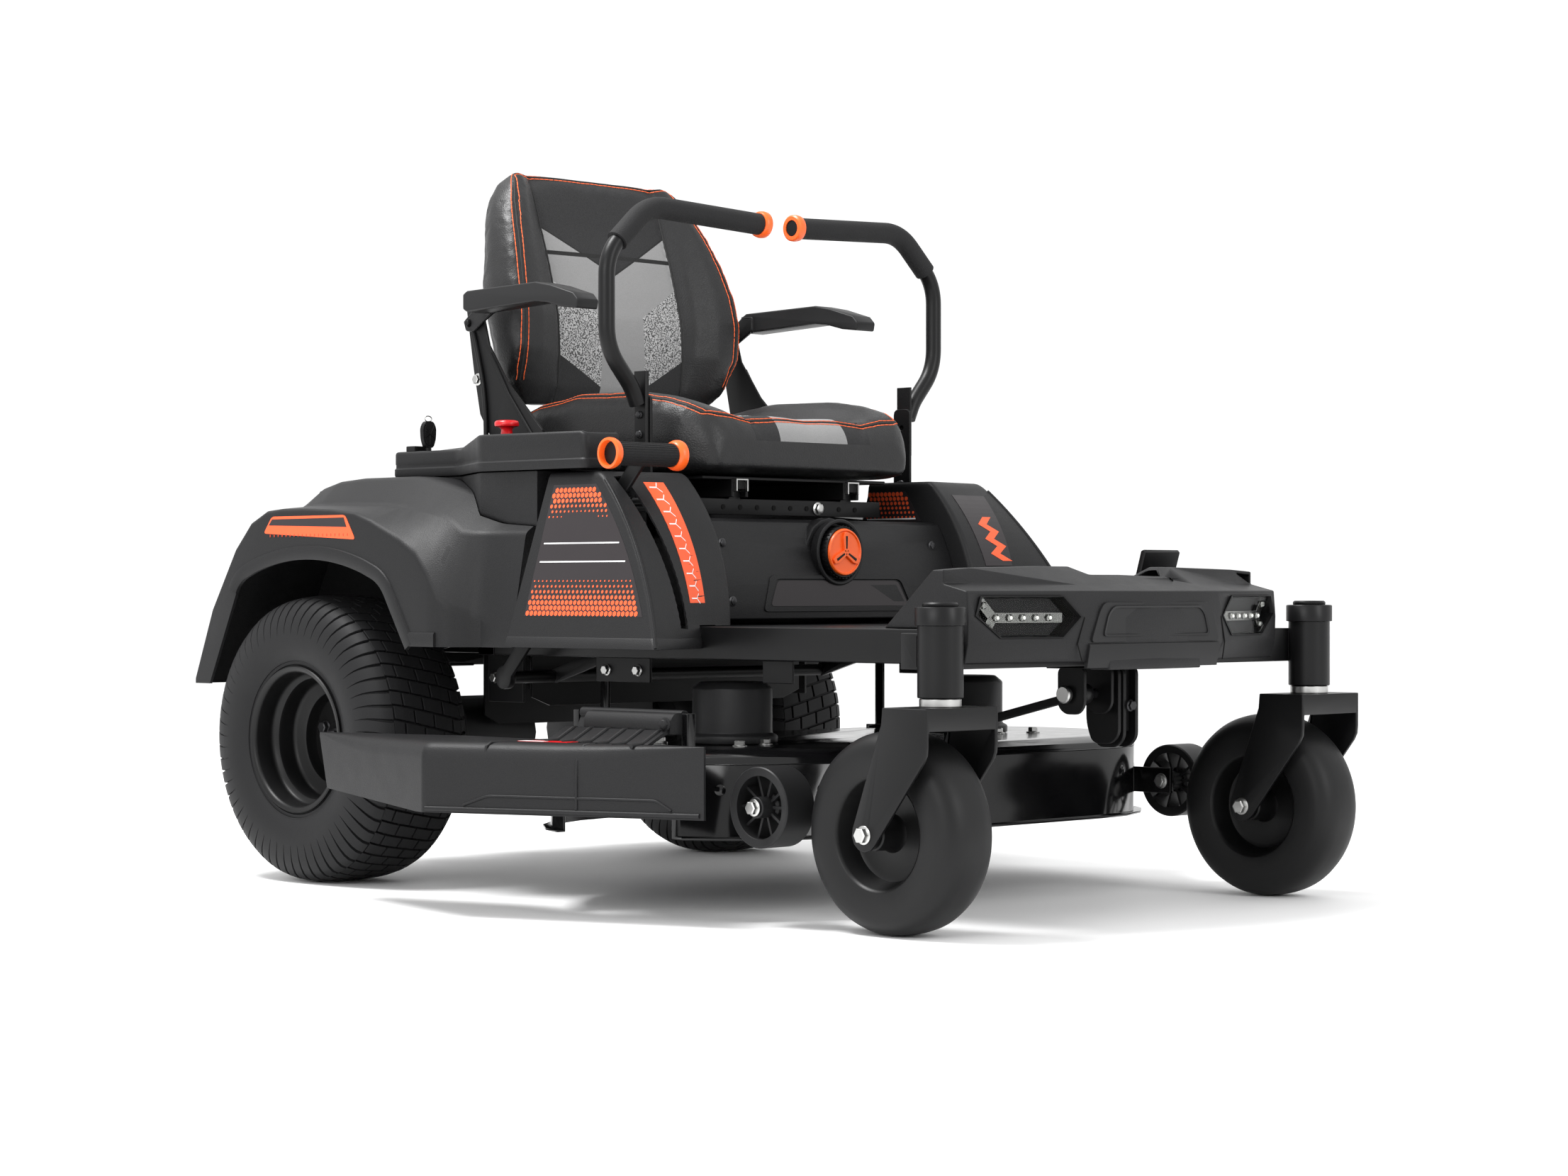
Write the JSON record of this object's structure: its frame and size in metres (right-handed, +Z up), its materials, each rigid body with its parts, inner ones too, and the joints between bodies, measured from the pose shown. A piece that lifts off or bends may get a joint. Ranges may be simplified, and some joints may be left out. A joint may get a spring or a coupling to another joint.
{
  "type": "zero turn mower",
  "caption": "Battery riding zero turn mower with lap bars, armrest seat, floating side-discharge deck, turf rear tyres and caster front wheels.",
  "frame": {"origin": "centre of the footprint, on the ground", "axes": "+X forward, +Y to the operator's left, +Z up"},
  "size_m": [1.6532, 1.261, 1.165],
  "materials": {
    "body_plastic": "grained charcoal moulding",
    "frame_paint": "satin black powder coat",
    "deck_paint": "gloss black paint",
    "chute_plastic": "fine grained dark moulding",
    "tyre_rubber": "matt black turf tyre",
    "caster_rubber": "smooth black tyre",
    "rim_paint": "semi-gloss black",
    "hub_plastic": "black moulding",
    "motor_metal": "dark coated casting",
    "blade_steel": "bare steel",
    "lamp_lens": "clear polycarbonate",
    "foam_grip": "black foam",
    "seat_leather": "black grained vinyl with fabric panels",
    "dial_plastic": "orange face in a black ring",
    "stop_red": "red"
  },
  "bodies": {
    "chassis": {"rear_frame": "frame_paint", "front_beam": "frame_paint", "floor_pan": "frame_paint", "front_cowl": "body_plastic", "console_bin": "body_plastic", "console_panel": "body_plastic", "seat_base_cover": "body_plastic", "seat_support": "frame_paint", "battery_pack": "hub_plastic", "rear_cover": "body_plastic", "front_hanger": "frame_paint", "fender_left": "body_plastic", "control_pod_left": "body_plastic", "frame_rail_left": "frame_paint", "headlight_left": "lamp_lens", "caster_cap_left": "hub_plastic", "drive_motor_left": "motor_metal", "fender_right": "body_plastic", "control_pod_right": "body_plastic", "frame_rail_right": "frame_paint", "headlight_right": "lamp_lens", "caster_cap_right": "hub_plastic", "drive_motor_right": "motor_metal"},
    "deck": {"deck_shell": "deck_paint", "deck_motor_left": "motor_metal", "deck_motor_right": "motor_metal"},
    "chute_flap": {"discharge_chute": "chute_plastic"},
    "height_control": {"height_lever": "frame_paint", "height_lever_grip": "foam_grip"},
    "hanger_link": {"hanger_rod": "frame_paint"},
    "seat_carriage": {"seat_platform": "frame_paint"},
    "seat": {"seat_pan": "frame_paint", "seat_cushion": "seat_leather", "seat_backrest": "seat_leather"},
    "dial_knob": {"suspension_dial": "dial_plastic"},
    "stop_plunger": {"stop_button": "stop_red"},
    "key_barrel": {"ignition_key": "hub_plastic"},
    "pedal_arm": {"brake_pedal": "frame_paint"},
    "rear_wheel_left": {"rear_tyre_left": "tyre_rubber", "rear_rim_left": "rim_paint"},
    "caster_yoke_left": {"caster_fork_left": "frame_paint"},
    "caster_wheel_left": {"caster_tyre_left": "caster_rubber", "caster_hub_left": "hub_plastic"},
    "steering_arm_left": {"control_arm_left": "motor_metal"},
    "lap_bar_assembly_left": {"lap_bar_left": "frame_paint", "lap_bar_grip_left": "foam_grip"},
    "blade_rotor_left": {"blade_left": "blade_steel"},
    "gauge_roller_left": {"gauge_wheel_left": "hub_plastic"},
    "armrest_arm_left": {"armrest_left": "body_plastic"},
    "rear_wheel_right": {"rear_tyre_right": "tyre_rubber", "rear_rim_right": "rim_paint"},
    "caster_yoke_right": {"caster_fork_right": "frame_paint"},
    "caster_wheel_right": {"caster_tyre_right": "caster_rubber", "caster_hub_right": "hub_plastic"},
    "steering_arm_right": {"control_arm_right": "motor_metal"},
    "lap_bar_assembly_right": {"lap_bar_right": "frame_paint", "lap_bar_grip_right": "foam_grip"},
    "blade_rotor_right": {"blade_right": "blade_steel"},
    "gauge_roller_right": {"gauge_wheel_right": "hub_plastic"},
    "armrest_arm_right": {"armrest_right": "body_plastic"}
  },
  "joints": [
    {"name": "rear_wheel_left_spin", "type": "hinge", "parent": "chassis", "child": "rear_wheel_left", "pos_m": [-0.5356, 0.5145, 0.23], "axis": [0, 1, 0], "continuous": true},
    {"name": "caster_left_swivel", "type": "hinge", "parent": "chassis", "child": "caster_yoke_left", "pos_m": [0.7599, 0.5035, 0.318], "axis": [0, 0, 1], "continuous": true},
    {"name": "caster_wheel_left_spin", "type": "hinge", "parent": "caster_yoke_left", "child": "caster_wheel_left", "pos_m": [0.6869, 0.5035, 0.1397], "axis": [0, 1, 0], "continuous": true},
    {"name": "steering_left", "type": "hinge", "parent": "chassis", "child": "steering_arm_left", "pos_m": [0.0354, 0.3755, 0.56], "axis": [0, 1, 0], "range_deg": [-11, 16], "stiffness_Nm_per_rad": 60},
    {"name": "lap_bar_left_swing", "type": "hinge", "parent": "steering_arm_left", "child": "lap_bar_assembly_left", "pos_m": [0.0354, 0.3755, 0.604], "axis": [-1, 0, 0], "range_deg": [0, 25]},
    {"name": "blade_left_spin", "type": "hinge", "parent": "deck", "child": "blade_rotor_left", "pos_m": [0.1994, 0.3465, 0.136], "axis": [0, 0, 1], "continuous": true},
    {"name": "gauge_wheel_left_spin", "type": "hinge", "parent": "deck", "child": "gauge_roller_left", "pos_m": [0.4804, 0.5435, 0.167], "axis": [0, 1, 0], "continuous": true},
    {"name": "armrest_left_fold", "type": "hinge", "parent": "seat", "child": "armrest_arm_left", "pos_m": [-0.3776, 0.3745, 0.899], "axis": [0, -1, 0], "range_deg": [0, 90]},
    {"name": "rear_wheel_right_spin", "type": "hinge", "parent": "chassis", "child": "rear_wheel_right", "pos_m": [-0.5356, -0.3455, 0.23], "axis": [0, 1, 0], "continuous": true},
    {"name": "caster_right_swivel", "type": "hinge", "parent": "chassis", "child": "caster_yoke_right", "pos_m": [0.7599, -0.3345, 0.318], "axis": [0, 0, 1], "continuous": true},
    {"name": "caster_wheel_right_spin", "type": "hinge", "parent": "caster_yoke_right", "child": "caster_wheel_right", "pos_m": [0.6869, -0.3345, 0.1397], "axis": [0, 1, 0], "continuous": true},
    {"name": "steering_right", "type": "hinge", "parent": "chassis", "child": "steering_arm_right", "pos_m": [0.0354, -0.2065, 0.56], "axis": [0, 1, 0], "range_deg": [-11, 16], "stiffness_Nm_per_rad": 60},
    {"name": "lap_bar_right_swing", "type": "hinge", "parent": "steering_arm_right", "child": "lap_bar_assembly_right", "pos_m": [0.0354, -0.2065, 0.604], "axis": [1, 0, 0], "range_deg": [0, 25]},
    {"name": "blade_right_spin", "type": "hinge", "parent": "deck", "child": "blade_rotor_right", "pos_m": [0.1994, -0.1775, 0.136], "axis": [0, 0, 1], "continuous": true},
    {"name": "gauge_wheel_right_spin", "type": "hinge", "parent": "deck", "child": "gauge_roller_right", "pos_m": [0.4804, -0.3745, 0.167], "axis": [0, 1, 0], "continuous": true},
    {"name": "armrest_right_fold", "type": "hinge", "parent": "seat", "child": "armrest_arm_right", "pos_m": [-0.3776, -0.2055, 0.899], "axis": [0, -1, 0], "range_deg": [0, 90]},
    {"name": "deck_lift", "type": "slide", "parent": "chassis", "child": "deck", "axis": [0, 0, 1], "range_m": [-0.0762, 0]},
    {"name": "height_lever_turn", "type": "hinge", "parent": "chassis", "child": "height_control", "pos_m": [-0.1606, -0.3175, 0.334], "axis": [0, 1, 0], "range_deg": [0, 33.1]},
    {"name": "hanger_rod_turn", "type": "hinge", "parent": "chassis", "child": "hanger_link", "pos_m": [0.6604, 0.0845, 0.318], "axis": [0, 1, 0], "range_deg": [-20, 0.1]},
    {"name": "chute_flap_turn", "type": "hinge", "parent": "deck", "child": "chute_flap", "pos_m": [0.2394, -0.4155, 0.291], "axis": [-1, 0, 0], "range_deg": [0, 75]},
    {"name": "seat_suspension", "type": "slide", "parent": "chassis", "child": "seat_carriage", "axis": [0, 0, 1], "range_m": [-0.03, 0], "stiffness_N_per_m": 30000, "springref_m": 0.035},
    {"name": "seat_slide", "type": "slide", "parent": "seat_carriage", "child": "seat", "axis": [1, 0, 0], "range_m": [-0.05, 0.06]},
    {"name": "suspension_dial_turn", "type": "hinge", "parent": "chassis", "child": "dial_knob", "pos_m": [0.1794, 0.0845, 0.528], "axis": [1, 0, 0], "range_deg": [-150, 150]},
    {"name": "stop_button_press", "type": "slide", "parent": "chassis", "child": "stop_plunger", "axis": [0, 0, 1], "range_m": [-0.006, 0], "stiffness_N_per_m": 1500, "springref_m": 0.003},
    {"name": "ignition_key_turn", "type": "hinge", "parent": "chassis", "child": "key_barrel", "pos_m": [-0.4396, -0.2415, 0.7], "axis": [0, 0, 1], "range_deg": [0, 90]},
    {"name": "brake_pedal_press", "type": "hinge", "parent": "chassis", "child": "pedal_arm", "pos_m": [0.6484, 0.3065, 0.436], "axis": [0, 1, 0], "range_deg": [0, 18], "stiffness_Nm_per_rad": 25, "springref_deg": -17.19}
  ],
  "couplings": [
    {"joint": "height_lever_turn", "follows": "deck_lift", "rad_per_m": -7.5585},
    {"joint": "hanger_rod_turn", "follows": "deck_lift", "rad_per_m": 4.51}
  ]
}
